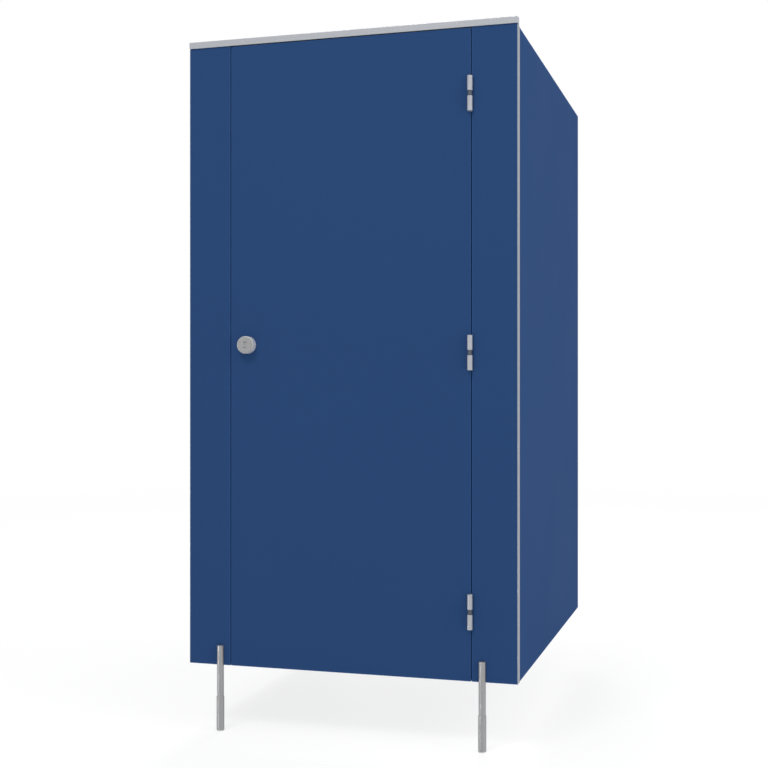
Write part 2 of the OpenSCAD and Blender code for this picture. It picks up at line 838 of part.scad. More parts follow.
// Lock: knob, indicator and rack-and-pinion bolt. Its modules are drawn round the
// spindle's axis, with y = 0 on the door's inner face.

module ring_sector(r0, r1, half, h) {
  rotate(-half) rotate_extrude(angle = 2 * half) translate([r0, 0]) square([r1 - r0, h]);
}

module lock_knob() {
  inner_r = knob_r - knob_rim;
  color(steel) facing_front(lock_x, front_y, lock_z) difference() {
    rotate_extrude() {
      square([knob_r - knob_step, knob_out - knob_edge]);
      translate([0, knob_step_h]) square([knob_r, knob_out - knob_edge - knob_step_h]);
      square([knob_r - knob_edge, knob_out]);
      translate([knob_r - knob_edge, knob_out - knob_edge]) circle(knob_edge);
    }
    difference() {
      translate([0, 0, -cut]) cylinder(h = knob_out - knob_face + cut, r = inner_r);
      for (s = [-1, 1]) translate([0, s * through_r, -2 * cut])
        cylinder(h = knob_out, r = boss_r + boss_play);
    }
    for (s = [-1, 1]) translate([0, s * through_r, -cut])
      cylinder(h = through_hold + cut, r = machine_r + screw_fit);
    translate([0, 0, knob_out - knob_face - cut]) {
      cylinder(h = knob_face - window_t + cut, r = disc_r + boss_play);
      cylinder(h = knob_face + 2 * cut, r = release_r + running_fit);
      for (a = [90, 270]) rotate(a)
        ring_sector(window_mid - window_w / 2, window_mid + window_w / 2, window_half,
                    knob_face + 2 * cut);
    }
  }
}

module lock_outline(grow = 0) {
  high = [case_right + grow, case_half_h + grow];
  round_rect([case_left - grow, -high[1]], high, case_r + grow);
}

module guide_ribs(x0, x1, inner, outer) {
  for (z = [inner, -outer]) translate([x0, z]) square([x1 - x0, outer - inner]);
}

module lock_case() {
  guide = bolt_half_h + bolt_clear;
  rib_x = [case_in_left - 0.5, case_right - case_wall + 0.5];
  color(silver) at_lock() difference() {
    union() {
      upright(0, case_base_t) lock_outline();
      upright(0, cover_y) difference() {
        lock_outline();
        translate([case_in_left, -case_half_h + case_wall])
          square([case_right - case_left - 2 * case_wall, 2 * (case_half_h - case_wall)]);
      }
      upright(0, cover_y) guide_ribs(rib_x[0], rib_x[1], guide, guide + guide_t);
      upright(0, bolt_lift - bolt_clear)
        guide_ribs(rib_x[0], rib_x[1], bolt_half_h - ledge_w, guide + guide_t / 2);
      at_through_screws() cylinder(h = cover_y, r = boss_r);
    }
    slab([case_left - cut, bolt_lift - bolt_clear, -nose_half_h - bolt_clear],
         [case_in_left + cut, bolt_lift + bolt_t + bolt_clear, nose_half_h + bolt_clear]);
    rotate([-90, 0, 0]) translate([0, 0, -cut])
      cylinder(h = case_base_t + 2 * cut, r = spindle_r + running_fit);
    at_through_screws() translate([0, 0, -cut]) cylinder(h = case_d, r = machine_r + screw_fit);
  }
}

module lock_cover() {
  rib_y = bolt_lift + bolt_t + bolt_clear;
  color(silver) at_lock() difference() {
    union() {
      upright(cover_y, case_d - cover_step) lock_outline();
      upright(cover_y, case_d) lock_outline(-cover_step);
      upright(rib_y, cover_y + 0.5)
        guide_ribs(case_in_left + 0.2, case_right - case_wall - 0.2, bolt_half_h - ledge_w, bolt_half_h);
    }
    rotate([-90, 0, 0]) cylinder(h = case_d + cut, r = spindle_r + running_fit);
    at_through_screws() cylinder(h = case_d + cut, r = machine_r + screw_fit);
  }
}

module lock_through_screws() {
  length = case_d + panel_t + through_hold - 0.5;
  color(steel) at_lock() at_through_screws() translate([0, 0, case_d])
    pan_screw(pan_r, machine_r, length, 0.5, machine_r - 0.5);
}

// One tooth of the pinion: half its angle at a radius, and its outline round angle a
function tooth_half(r) = let (base = pitch_r * cos(pressure_angle))
  90 / pinion_teeth - backlash / 4 / pitch_r * 180 / PI + inv(pressure_angle)
  - (r > base ? inv(acos(base / r)) : 0);

function flank_radii() = let (base = pitch_r * cos(pressure_angle))
  concat([pitch_r - dedendum], spread(base, pitch_r + addendum, 6));

function tooth_points(a) = concat(
  [for (r = flank_radii()) polar(r, a - tooth_half(r))],
  [for (i = [len(flank_radii()) - 1 : -1 : 0]) polar(flank_radii()[i], a + tooth_half(flank_radii()[i]))]
);

module pinion_outline() {
  polygon([for (i = [0 : pinion_teeth - 1]) each tooth_points(-90 + i * 360 / pinion_teeth)]);
}

module spindle_section(gap = 0) {
  difference() {
    circle(spindle_r + gap);
    translate([-2 * spindle_r, spindle_flat + gap]) square([4 * spindle_r, spindle_r]);
  }
}

module lock_pinion() {
  color(steel) at_lock() difference() {
    union() {
      upright(bolt_lift + 0.5, bolt_lift + bolt_t - 0.5) pinion_outline();
      rotate([-90, 0, 0]) translate([0, 0, case_base_t + hub_gap])
        cylinder(h = cover_y - case_base_t - 2 * hub_gap, r = hub_r);
    }
    upright(0, case_d) spindle_section(0.02);
  }
}

// A rack tooth that points up from the root line, centred on x = 0
module rack_tooth() {
  pitch_half = PI * gear_module / 4 - backlash / 4;
  slope = tan(pressure_angle);
  polygon([
    [-pitch_half - (dedendum + 0.5) * slope, -pitch_r - dedendum - 0.5],
    [pitch_half + (dedendum + 0.5) * slope, -pitch_r - dedendum - 0.5],
    [pitch_half - addendum * slope, -pitch_r + addendum],
    [-pitch_half + addendum * slope, -pitch_r + addendum]
  ]);
}

module lock_bolt() {
  tooth_pitch = PI * gear_module;
  color(steel) at_lock() upright(bolt_lift, bolt_lift + bolt_t) {
    difference() {
      round_rect([bolt_left, -bolt_half_h], [bolt_right, bolt_half_h], 1);
      translate([window_left, rack_root]) square([window_right - window_left, window_top - rack_root]);
    }
    round_rect([nose_tip, -nose_half_h], [bolt_left + 4, nose_half_h], 1);
    intersection() {
      for (i = [-2 : 5]) translate([(i + 0.5) * tooth_pitch, 0]) rack_tooth();
      translate([window_left - 1, -bolt_half_h]) square([window_right - window_left + 2, bolt_half_h]);
    }
  }
}

module lock_spindle() {
  color(steel) at_lock() difference() {
    union() {
      upright(disc_y - 0.5, spindle_end) spindle_section();
      rotate([90, 0, 0]) translate([0, 0, -disc_y]) cylinder(h = window_t + disc_gap, r = release_r);
    }
    slab([-slot_w / 2, -panel_t - knob_out - cut, -slot_half],
         [slot_w / 2, -panel_t - knob_out + slot_d, slot_half]);
    translate([0, spindle_end + cut, 0]) rotate([90, 0, 0])
      cylinder(h = turn_screw_bore + cut, r = turn_screw_r + screw_fit);
  }
}

// The two red sectors that turn into the windows when the lock is shut
module flag_sectors(gap = 0) {
  inner = window_mid - window_w / 2 - flag_lap - gap;
  outer = window_mid + window_w / 2 + flag_lap + gap;
  half = window_half + flag_lap_angle + atan(gap / inner);
  rotate([90, 0, 0]) for (a = [0, 180]) rotate(a)
    ring_sector(inner, outer, half, flag_t + (gap > 0 ? cut : 0));
}

module indicator_disc() {
  color(slate) at_lock() difference() {
    upright(disc_y, disc_y + disc_t) difference() {
      circle(disc_r);
      spindle_section(0.02);
    }
    translate([0, disc_y + flag_t, 0]) flag_sectors(screw_fit);
  }
}

module indicator_flag() {
  color(red) at_lock() translate([0, disc_y + flag_t, 0]) flag_sectors();
}

module at_turn_screw() {
  rotate([-90, 0, 0]) translate([0, 0, turn_end - 1]) children();
}

module thumb_turn_profile(h, edge) {
  square([turn_r, h - edge]);
  square([turn_r - edge, h]);
  translate([turn_r - edge, h - edge]) circle(edge);
}

module thumb_turn() {
  wing_end = turn_r - 0.5;
  color(steel) at_lock() difference() {
    union() {
      rotate([-90, 0, 0]) translate([0, 0, turn_y]) rotate_extrude()
        thumb_turn_profile(turn_base_t, turn_edge / 2);
      intersection() {
        upright(turn_y + 1, turn_end)
          round_rect([-wing_t / 2, -wing_end], [wing_t / 2, wing_end], wing_t / 2 - 0.1);
        rotate([-90, 0, 0]) translate([0, 0, turn_y]) rotate_extrude()
          thumb_turn_profile(turn_base_t + wing_h, 2 * turn_edge);
      }
    }
    upright(turn_y - cut, spindle_end + 0.3) spindle_section(0.02);
    at_turn_screw() csk_hole(2 * turn_screw_r, turn_screw_r, screw_l, 1);
  }
}

module thumb_turn_washer() {
  color(slate) at_lock() rotate([-90, 0, 0]) translate([0, 0, case_d]) difference() {
    cylinder(h = washer_t, r = washer_r);
    translate([0, 0, -cut]) cylinder(h = washer_t + 2 * cut, r = spindle_r + running_fit);
  }
}

module thumb_turn_screw() {
  color(steel) at_lock() at_turn_screw()
    csk_screw(2 * turn_screw_r, turn_screw_r, screw_l, 0.5, turn_screw_r - 0.5);
}

// Keep: two stops that the closed door meets, and a pocket for the bolt between them

module lock_keep() {
  pocket_h = keep_nose_h + keep_wall;
  color(silver) difference() {
    at_lock() difference() {
      union() {
        upright(0, keep_t)
          round_rect([keep_edge - keep_l, -keep_half_h], [keep_right, keep_half_h], keep_r);
        upright(stop_low, stop_low + stop_t)
          round_rect([keep_right - keep_lap, -keep_half_h], [keep_stop, keep_half_h], keep_r);
        upright(0, pocket_far + keep_wall)
          translate([pocket_left, -pocket_h]) square([keep_right - pocket_left, 2 * pocket_h]);
        upright(stop_low, pocket_far + keep_wall)
          translate([keep_right - 1, -pocket_h]) square([keep_stop - keep_right, 2 * pocket_h]);
      }
      slab([pocket_left + keep_wall, keep_t, -keep_nose_h], [keep_stop + cut, pocket_far, keep_nose_h]);
      slab([keep_right, -cut, -keep_nose_h], [keep_stop + cut, pocket_far, keep_nose_h]);
    }
    at_keep_screws() csk_hole();
  }
}

module keep_buffers() {
  color(black) at_lock() upright(buffer_gap, stop_low)
    for (z = [buffer_inner, -buffer_outer])
      translate([buffer_inset - backset, z])
        square([stop_reach - 2 * buffer_inset, buffer_outer - buffer_inner]);
}

module keep_screws() {
  color(steel) at_keep_screws() csk_screw();
}

// Coat hook

// The ball-shaped root of an arm, cut off inside the base
module hook_root_at(z) {
  root_r = hook_r + hook_root;
  difference() {
    translate([0, hook_base_t, z]) sphere(root_r);
    slab([-2 * root_r, -2 * root_r, z - 2 * root_r], [2 * root_r, hook_base_t / 4, z + 2 * root_r]);
  }
}

module coat_hook() {
  low_out = hook_low - hook_bend;
  rose_edge = hook_base_t / 2;
  color(steel) difference() {
    translate([hook_x, back_y, hook_z]) {
      rotate([-90, 0, 0]) rotate_extrude() {
        square([hook_rose_r, hook_base_t - rose_edge]);
        square([hook_rose_r - rose_edge, hook_base_t]);
        translate([hook_rose_r - rose_edge, hook_base_t - rose_edge]) circle(rose_edge);
      }
      hook_root_at(hook_rise);
      hook_root_at(-hook_drop);
      translate([0, hook_base_t, hook_rise]) rotate([-hook_slope, 0, 0]) {
        cylinder(h = hook_arm, r = hook_r);
        translate([0, 0, hook_arm]) sphere(hook_r + hook_ball);
      }
      translate([0, hook_base_t, -hook_drop]) rotate([-90, 0, 0])
        cylinder(h = low_out - hook_base_t, r = hook_r);
      translate([0, low_out, hook_bend - hook_drop]) rotate([90, 0, 90]) rotate(-90)
        rotate_extrude(angle = 90) translate([hook_bend, 0]) circle(hook_r);
      translate([0, hook_low, hook_bend - hook_drop]) {
        cylinder(h = hook_r, r = hook_r);
        translate([0, 0, hook_r]) sphere(hook_r + hook_ball / 2);
      }
    }
    at_hook_screws() csk_hole();
  }
}

module coat_hook_screws() {
  color(steel) at_hook_screws() csk_screw();
}

pilaster_left();
pilaster_right();
side_partition(-1);  // side_partition_left
side_partition(1);  // side_partition_right
headrail();
headrail_cap(-1);  // headrail_cap_left
headrail_cap(1);  // headrail_cap_right
headrail_screws();
corner_profile(-1);  // corner_profile_left
corner_profile(1);  // corner_profile_right
corner_profile_screws();
wall_angle(-1);  // wall_angle_left
wall_angle(1);  // wall_angle_right
wall_angle_screws();
leg(-1);  // leg_left
leg(1);  // leg_right
leg_bolts();
foot_sleeve(-1);  // foot_sleeve_left
foot_sleeve(1);  // foot_sleeve_right
foot_stud(-1);  // foot_stud_left
foot_stud(1);  // foot_stud_right
foot_pad(-1);  // foot_pad_left
foot_pad(1);  // foot_pad_right
hinge_frame_leaf(hinge_z[0]);  // hinge_frame_leaf_bottom
hinge_frame_leaf(hinge_z[1]);  // hinge_frame_leaf_middle
hinge_frame_leaf(hinge_z[2]);  // hinge_frame_leaf_top
hinge_door_leaf(hinge_z[0]);  // hinge_door_leaf_bottom
hinge_door_leaf(hinge_z[1]);  // hinge_door_leaf_middle
hinge_door_leaf(hinge_z[2]);  // hinge_door_leaf_top
hinge_pin(hinge_z[0]);  // hinge_pin_bottom
hinge_pin(hinge_z[1]);  // hinge_pin_middle
hinge_pin(hinge_z[2]);  // hinge_pin_top
hinge_ring(hinge_z[0]);  // hinge_ring_bottom
hinge_ring(hinge_z[1]);  // hinge_ring_middle
hinge_ring(hinge_z[2]);  // hinge_ring_top
hinge_frame_screws();
hinge_door_screws();
door_panel();
lock_knob();
lock_case();
lock_cover();
lock_through_screws();
lock_bolt();
lock_spindle();
lock_pinion();
indicator_disc();
indicator_flag();
thumb_turn();
thumb_turn_washer();
thumb_turn_screw();
lock_keep();
keep_buffers();
keep_screws();
coat_hook();
coat_hook_screws();
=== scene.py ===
"""A panelled changing cubicle with an outward opening door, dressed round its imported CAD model.

Metres, with +X to the right of someone who faces the door, +Y from the front to the wall and
+Z up. The studio comes first, then the shared surface effects, the finishes, and the table that
gives each node of the CAD model its finish.
"""

import json
import math

import bmesh
import bpy
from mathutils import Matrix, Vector


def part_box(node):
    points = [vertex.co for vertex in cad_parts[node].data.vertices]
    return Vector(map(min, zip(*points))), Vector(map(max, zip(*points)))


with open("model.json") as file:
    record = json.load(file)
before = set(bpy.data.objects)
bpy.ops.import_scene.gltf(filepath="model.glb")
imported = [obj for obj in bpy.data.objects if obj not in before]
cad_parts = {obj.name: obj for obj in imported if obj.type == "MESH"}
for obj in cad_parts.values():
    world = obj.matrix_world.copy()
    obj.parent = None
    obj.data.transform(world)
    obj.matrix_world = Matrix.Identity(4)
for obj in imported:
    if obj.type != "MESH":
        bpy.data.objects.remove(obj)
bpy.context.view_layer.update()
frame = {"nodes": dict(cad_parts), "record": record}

# Where the outer face of the front stands
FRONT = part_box("pilaster_right")[0].y

# The photograph's camera: level, to the right of the door and turned a little to the left
IMAGE_SIDE = 768
FOCAL_PIXELS = 1260.7
SENSOR = 36.0
CAMERA_X = 1.0946
CAMERA_FROM_FRONT = 3.3764
CAMERA_HEIGHT = 1.0039
CAMERA_TURN = 0.28462
CAMERA_REACH = 100

# Light of the room on matt faces; the lamps add the rest up to a white of 1
ROOM_LIGHT = 0.69
WHITE = (1.0, 1.0, 1.0)

# The floor, and its share of plain white from near the cubicle to far away
FLOOR_SIDE = 30.0
FLOOR_COLOUR = (0.93, 0.93, 0.93)
NEAR_SHARE = 0.75
NEAR = 2.5
FAR = 9.0

# Lines that cross a metre of each axis, where they run along the axes in the name
ALONG_X = (2, 700, 700)
ALONG_Z = (700, 700, 2)
ALONG_Z_AND_X = (1, 400, 1)

# The range that a noise mostly fills
NOISE_LOW = 0.3
NOISE_HIGH = 0.7

# The laminate's colours, the width of its edging, and how far hands reach round the lock
BLUE = (0.0183, 0.0497, 0.1365)
BLUE_DRIFT = (0.0193, 0.0517, 0.1415)
# The edging's paler blue is partly its own colour and partly painted light: it lightens the shaded
# gaps round the door as if light reached into them. The speckles borrow it too.
BLUE_EDGE_PAINTED_LIGHTER = (0.0290, 0.0820, 0.2200)
BLUE_SEAM = (0.0150, 0.0420, 0.1200)
EDGING = 0.0015
HAND_REACH = 0.22

# Longer than any board, so that a board has no edge across its thickness
NO_EDGE = 10.0
SIDE_BOARDS = ("side_partition_left", "side_partition_right")


def middle(node):
    """The middle of a node's box."""
    low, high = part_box(node)
    return (low + high) / 2


LOCK = middle("lock_pinion")


def feed(tree, value, socket):
    """Gives a socket a constant, or links another socket to it."""
    if isinstance(value, bpy.types.NodeSocket):
        tree.links.new(value, socket)
    else:
        socket.default_value = value


def add(tree, kind, settings=None, **inputs):
    """A shader node with its settings and its inputs, and underscores for spaces in their names."""
    node = tree.nodes.new("ShaderNode" + kind)
    for name, value in (settings or {}).items():
        setattr(node, name, value)
    for name, value in inputs.items():
        feed(tree, value, node.inputs[name.replace("_", " ")])
    return node


def maths(tree, operation, first, second=0.0):
    """The result of a Math node on two numbers."""
    node = add(tree, "Math", {"operation": operation})
    feed(tree, first, node.inputs[0])
    feed(tree, second, node.inputs[1])
    return node.outputs[0]


def add_share(tree, value, share, other):
    """The value with a share of another value added, or taken away by a share below 0."""
    return maths(tree, "ADD", value, maths(tree, "MULTIPLY", other, share))


def vector_maths(tree, operation, first, second=(0, 0, 0), result="Vector"):
    """The result of a Vector Math node on two vectors."""
    node = add(tree, "VectorMath", {"operation": operation})
    feed(tree, first, node.inputs[0])
    feed(tree, second, node.inputs[1])
    return node.outputs[result]


def ramp(tree, value, low, high, start=0.0, end=1.0):
    """A smooth change from start, where the value is low, to end, where it is high."""
    node = add(tree, "MapRange", {"interpolation_type": "SMOOTHSTEP"}, Value=value,
               From_Min=low, From_Max=high, To_Min=start, To_Max=end)
    return node.outputs["Result"]


def vary(tree, noise, start, end):
    """A smooth change from start to end over the range of a noise."""
    return ramp(tree, noise, NOISE_LOW, NOISE_HIGH, start, end)


def opaque(rgb):
    """A linear red, green and blue with full alpha."""
    return (*rgb, 1.0)


def blend_colours(tree, factor, first, second):
    """The first colour where the factor is 0, and the second where it is 1."""
    node = add(tree, "Mix", {"data_type": "RGBA"})
    for number, value in ((0, factor), (6, first), (7, second)):
        feed(tree, opaque(value) if isinstance(value, tuple) else value, node.inputs[number])
    return node.outputs[2]


def mix_shaders(tree, share, first, second, end):
    """Ends a tree with a mix of two shaders, with a share of the second."""
    mix = add(tree, "MixShader", Fac=share)
    tree.links.new(first.outputs[0], mix.inputs[1])
    tree.links.new(second.outputs[0], mix.inputs[2])
    add(tree, end, Surface=mix.outputs[0])


# The studio


def place_camera():
    """Puts the camera where the photograph was taken from."""
    data = bpy.data.cameras.new("camera")
    data.sensor_width = SENSOR
    data.lens = FOCAL_PIXELS / IMAGE_SIDE * SENSOR
    data.clip_end = CAMERA_REACH
    camera = bpy.data.objects.new("camera", data)
    camera.location = (CAMERA_X, FRONT - CAMERA_FROM_FRONT, CAMERA_HEIGHT)
    camera.rotation_euler = (math.pi / 2, 0, CAMERA_TURN)
    bpy.context.scene.collection.objects.link(camera)
    bpy.context.scene.camera = camera


def hang_lamp(name, power, size, place, aim, beam=math.pi, on_matt=True):
    """A square lamp with a beam from its place to its aim, on matt faces too or in metal alone."""
    data = bpy.data.lights.new(name, "AREA")
    data.energy = power
    data.shape = "SQUARE"
    data.size = size
    data.spread = beam
    light = bpy.data.objects.new(name, data)
    light.location = place
    light.visible_diffuse = on_matt
    light.rotation_euler = (Vector(aim) - Vector(place)).to_track_quat("-Z", "Y").to_euler()
    bpy.context.scene.collection.objects.link(light)


def hang_lamps():
    """Lamps over the door, at the side and behind, and two at the left for the metal alone."""
    at_left = (-3.2, FRONT - 2.6)
    hang_lamp("key", power=180, size=2.2, place=(-0.8, FRONT - 4.2, 6.2), aim=(0.0, FRONT, 0.8))
    hang_lamp("left", power=36, size=2.2, place=(*at_left, 0.9), aim=(0.0, FRONT, 0.9),
              on_matt=False)
    hang_lamp("low", power=0.7, size=0.6, place=(*at_left, 0.28), aim=(0.0, FRONT, 0.1),
              beam=math.radians(20), on_matt=False)
    hang_lamp("side", power=238, size=6.0, place=(6.5, FRONT - 0.8, 3.1), aim=(0.5, 0.0, 0.8))
    hang_lamp("back", power=170, size=2.4, place=(-1.0, 5.2, 4.4), aim=(0.0, FRONT, 0.9))


def seen_directly(tree):
    """1 for what the camera sees itself, in metal or through glass, and 0 for light on matt faces."""
    path = add(tree, "LightPath").outputs
    mirrored = maths(tree, "MAXIMUM", path["Is Glossy Ray"], path["Is Transmission Ray"])
    return maths(tree, "MAXIMUM", path["Is Camera Ray"], mirrored)


def light_room():
    """An even room with a white background."""
    world = bpy.data.worlds.new("studio")
    bpy.context.scene.world = world
    world.use_nodes = True
    tree = world.node_tree
    tree.nodes.clear()
    room = add(tree, "Background", Color=opaque(WHITE), Strength=ROOM_LIGHT)
    white = add(tree, "Background", Color=opaque(WHITE), Strength=1.0)
    mix_shaders(tree, seen_directly(tree), room, white, "OutputWorld")


def lay_floor():
    """A plain pale floor that runs into the white background and keeps the cubicle's shadow."""
    mesh = bpy.data.meshes.new("floor")
    shape = bmesh.new()
    bmesh.ops.create_grid(shape, x_segments=1, y_segments=1, size=FLOOR_SIDE / 2)
    shape.to_mesh(mesh)
    shape.free()
    material = bpy.data.materials.new("floor")
    material.use_nodes = True
    tree = material.node_tree
    tree.nodes.clear()
    matt = add(tree, "BsdfDiffuse", Color=opaque(FLOOR_COLOUR))
    white = add(tree, "Emission", Color=opaque(WHITE), Strength=1.0)
    away = vector_maths(tree, "LENGTH", object_place(tree), result="Value")
    share = ramp(tree, away, NEAR, FAR, NEAR_SHARE, 1.0)
    share = maths(tree, "MULTIPLY", seen_directly(tree), share)
    mix_shaders(tree, share, matt, white, "OutputMaterial")
    mesh.materials.append(material)
    floor = bpy.data.objects.new("floor", mesh)
    bpy.context.scene.collection.objects.link(floor)


# Shared surface effects


def new_effect(name, inputs, outputs):
    """An empty node group for a shared effect, with the sockets at its two ends."""
    tree = bpy.data.node_groups.new(name, "ShaderNodeTree")
    for label, value in inputs.items():
        kind = "NodeSocketFloat" if isinstance(value, float) else "NodeSocketVector"
        tree.interface.new_socket(label, in_out="INPUT", socket_type=kind).default_value = value
    for label in outputs:
        tree.interface.new_socket(label, in_out="OUTPUT", socket_type="NodeSocketFloat")
    return tree, tree.nodes.new("NodeGroupInput").outputs, tree.nodes.new("NodeGroupOutput").inputs


def use(tree, effect, **inputs):
    """Places a shared effect in a material with that material's values, and gives its outputs."""
    node = tree.nodes.new("ShaderNodeGroup")
    node.node_tree = effect
    for name, value in inputs.items():
        feed(tree, value, node.inputs[name.replace("_", " ")])
    return node.outputs


def object_place(tree):
    """The point on the object that is being coloured."""
    return add(tree, "TexCoord").outputs["Object"]


def make_fine_grain():
    """Small speckles and a slow drift, for pressed, blasted and moulded faces."""
    inputs = {"Grain Size": 0.0005, "Drift Size": 0.3}
    tree, given, made = new_effect("fine grain", inputs, ("Grain", "Drift"))
    place = object_place(tree)
    for size, result, detail in (("Grain Size", "Grain", 2.0), ("Drift Size", "Drift", 1.0)):
        scale = maths(tree, "DIVIDE", 1.0, given[size])
        noise = add(tree, "TexNoise", Vector=place, Scale=scale, Detail=detail)
        feed(tree, noise.outputs["Fac"], made[result])
    return tree


def make_drawn_lines():
    """Fine lines left by a die or a brush. Stretch is how many lines cross a metre of each axis."""
    tree, given, made = new_effect("drawn lines", {"Stretch": (400.0, 400.0, 1.0)}, ("Lines",))
    place = vector_maths(tree, "MULTIPLY", object_place(tree), given["Stretch"])
    noise = add(tree, "TexNoise", Vector=place, Scale=4.0, Detail=3.0, Roughness=0.6)
    feed(tree, noise.outputs["Fac"], made["Lines"])
    return tree


def make_turned_rings():
    """Rings of a lathe round a centre, on the two axes that Across keeps."""
    inputs = {"Centre": (0.0, 0.0, 0.0), "Across": (1.0, 0.0, 1.0), "Pitch": 0.0004}
    tree, given, made = new_effect("turned rings", inputs, ("Rings", "Radius"))
    arm = vector_maths(tree, "SUBTRACT", object_place(tree), given["Centre"])
    arm = vector_maths(tree, "MULTIPLY", arm, given["Across"])
    radius = vector_maths(tree, "LENGTH", arm, result="Value")
    turns = maths(tree, "DIVIDE", radius, given["Pitch"])
    noise = add(tree, "TexNoise", {"noise_dimensions": "1D"}, W=turns, Scale=1.0, Detail=2.0)
    feed(tree, noise.outputs["Fac"], made["Rings"])
    feed(tree, radius, made["Radius"])
    return tree


def make_board_edge():
    """The band along a board's edges and the seam inside it. A board's thin axis has a long Half."""
    inputs = {"Middle": (0.0, 0.0, 0.0), "Half": (1.0, 1.0, 1.0), "Width": 0.001}
    tree, given, made = new_effect("board edge", inputs, ("Band", "Seam"))
    soft = 0.0001
    arm = vector_maths(tree, "SUBTRACT", object_place(tree), given["Middle"])
    arm = vector_maths(tree, "ABSOLUTE", arm)
    left = vector_maths(tree, "SUBTRACT", given["Half"], arm)
    left = add(tree, "SeparateXYZ", Vector=left).outputs
    inset = maths(tree, "MINIMUM", maths(tree, "MINIMUM", left[0], left[1]), left[2])
    beyond = maths(tree, "SUBTRACT", inset, given["Width"])
    from_seam = maths(tree, "ABSOLUTE", beyond)
    feed(tree, ramp(tree, beyond, -soft, soft, 1.0, 0.0), made["Band"])
    feed(tree, ramp(tree, from_seam, soft / 2, 2 * soft, 1.0, 0.0), made["Seam"])
    return tree


def make_hand_marks():
    """Faint blotches left by hands, strongest at a place and gone beyond its reach."""
    inputs = {"Place": (0.0, 0.0, 0.0), "Reach": 0.2}
    tree, given, made = new_effect("hand marks", inputs, ("Marks",))
    place = object_place(tree)
    away = vector_maths(tree, "DISTANCE", place, given["Place"], "Value")
    near = maths(tree, "SUBTRACT", 1.0, maths(tree, "DIVIDE", away, given["Reach"]))
    near = ramp(tree, near, 0.0, 1.0)
    noise = add(tree, "TexNoise", Vector=place, Scale=45.0, Detail=4.0, Roughness=0.65,
                Distortion=0.4)
    blotch = ramp(tree, noise.outputs["Fac"], low=0.45, high=0.7)
    feed(tree, maths(tree, "MULTIPLY", near, blotch), made["Marks"])
    return tree


FINE_GRAIN = make_fine_grain()
DRAWN_LINES = make_drawn_lines()
TURNED_RINGS = make_turned_rings()
BOARD_EDGE = make_board_edge()
HAND_MARKS = make_hand_marks()


# Finishes


def new_finish(name, metallic=0.0, **constants):
    """A material whose shader has these constants, with its tree and its shader's inputs."""
    material = bpy.data.materials.new(name)
    material.use_nodes = True
    tree = material.node_tree
    shader = tree.nodes["Principled BSDF"]
    shader.inputs["Metallic"].default_value = metallic
    for label, value in constants.items():
        shader.inputs[label.replace("_", " ")].default_value = value
    return material, tree, shader.inputs


def dress(tree, shader, tone, roughness, height, raised):
    """Feeds a shader its colour, its roughness, and a surface raised where the height is 1."""
    feed(tree, tone, shader["Base Color"])
    feed(tree, roughness, shader["Roughness"])
    bump = add(tree, "Bump", Height=height, Distance=raised)
    feed(tree, bump.outputs["Normal"], shader["Normal"])


def laminate(node):
    """Satin blue laminate with a fine texture, and a strip of edging round the board in a paler blue
    that is partly the edging's own colour and partly painted light in the door gaps.
    """
    material, tree, shader = new_finish("laminate_" + node, Specular_IOR_Level=0.015)
    low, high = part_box(node)
    half = (high - low) / 2
    half[0 if node in SIDE_BOARDS else 1] = NO_EDGE
    grain = use(tree, FINE_GRAIN, Grain_Size=0.00045, Drift_Size=0.45)
    edge = use(tree, BOARD_EDGE, Middle=middle(node), Half=half, Width=EDGING)
    marks = use(tree, HAND_MARKS, Place=LOCK, Reach=HAND_REACH)["Marks"]
    tone = blend_colours(tree, grain["Drift"], BLUE, BLUE_DRIFT)
    speckle = ramp(tree, grain["Grain"], low=0.35, high=0.65, start=0.0, end=0.12)
    tone = blend_colours(tree, speckle, tone, BLUE_EDGE_PAINTED_LIGHTER)
    # Painted light: the paler edging makes the gaps round the door read lighter than their shade.
    tone = blend_colours(tree, edge["Band"], tone, BLUE_EDGE_PAINTED_LIGHTER)
    tone = blend_colours(tree, edge["Seam"], tone, BLUE_SEAM)
    roughness = vary(tree, grain["Drift"], 0.72, 0.78)
    roughness = add_share(tree, roughness, -0.08, edge["Band"])
    roughness = add_share(tree, roughness, -0.07, marks)
    height = add_share(tree, grain["Grain"], -0.8, edge["Seam"])
    dress(tree, shader, tone, roughness, height, raised=0.00003)
    return material


def anodised(name, stretch, dark, light):
    """Satin anodised aluminium with the fine lines of its extrusion."""
    tint = opaque((0.62, 0.62, 0.64))
    material, tree, shader = new_finish("anodised_" + name, metallic=0.7, Specular_Tint=tint)
    lines = use(tree, DRAWN_LINES, Stretch=stretch)["Lines"]
    grain = use(tree, FINE_GRAIN, Grain_Size=0.0003, Drift_Size=0.35)
    tone = blend_colours(tree, lines, dark, light)
    tone = blend_colours(tree, vary(tree, grain["Drift"], 0.0, 0.3), tone, light)
    roughness = vary(tree, lines, 0.26, 0.30)
    height = add_share(tree, lines, 0.3, grain["Grain"])
    dress(tree, shader, tone, roughness, height, raised=0.000008)
    return material


def brushed_steel(name, stretch, dark, light):
    """Stainless steel tube with a brushed finish."""
    material, tree, shader = new_finish("brushed_steel_" + name, metallic=0.75)
    lines = use(tree, DRAWN_LINES, Stretch=stretch)["Lines"]
    drift = use(tree, FINE_GRAIN, Grain_Size=0.0004, Drift_Size=0.05)["Drift"]
    tone = blend_colours(tree, lines, dark, light)
    roughness = add_share(tree, vary(tree, lines, 0.36, 0.42), 0.05, drift)
    dress(tree, shader, tone, roughness, lines, raised=0.000008)
    return material


